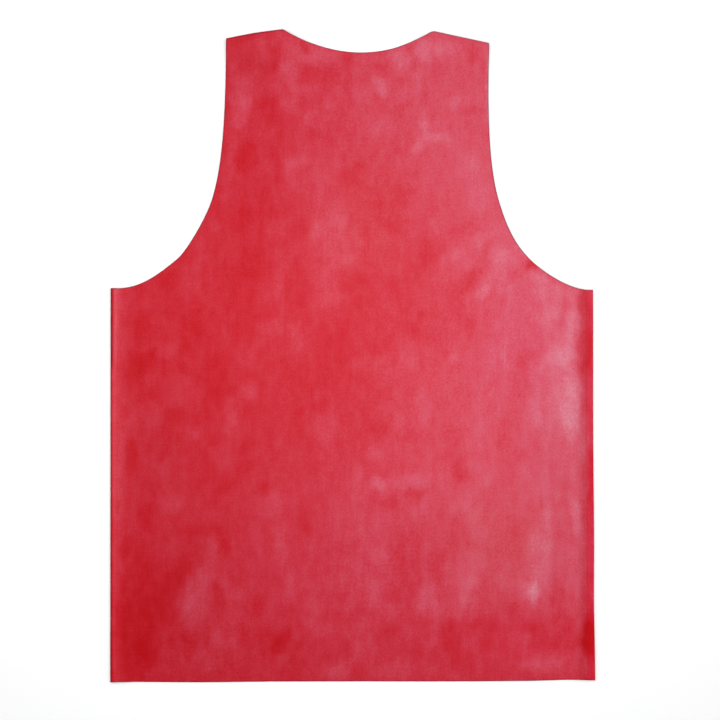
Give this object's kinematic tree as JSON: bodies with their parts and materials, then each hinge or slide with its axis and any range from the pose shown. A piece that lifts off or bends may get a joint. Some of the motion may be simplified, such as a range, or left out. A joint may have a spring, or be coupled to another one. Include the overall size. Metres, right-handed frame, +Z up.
{
  "type": "latex muscle shirt",
  "caption": "Sleeveless latex muscle shirt laid flat on its front, with a shallow back neckline, deep armholes, straight sides with glued laps and plain cut edges.",
  "frame": {"origin": "middle of the garment's outline on the surface that it lies on", "axes": "+X to the right of the picture, +Y from the hem towards the neck, +Z up, off the surface, out of the back panel"},
  "size_m": [0.5018, 0.6753, 0.0039],
  "materials": {
    "latex": "satin latex sheet with a soft pale bloom"
  },
  "bodies": {
    "root": {"back_panel": "latex", "front_panel": "latex"}
  },
  "joints": []
}
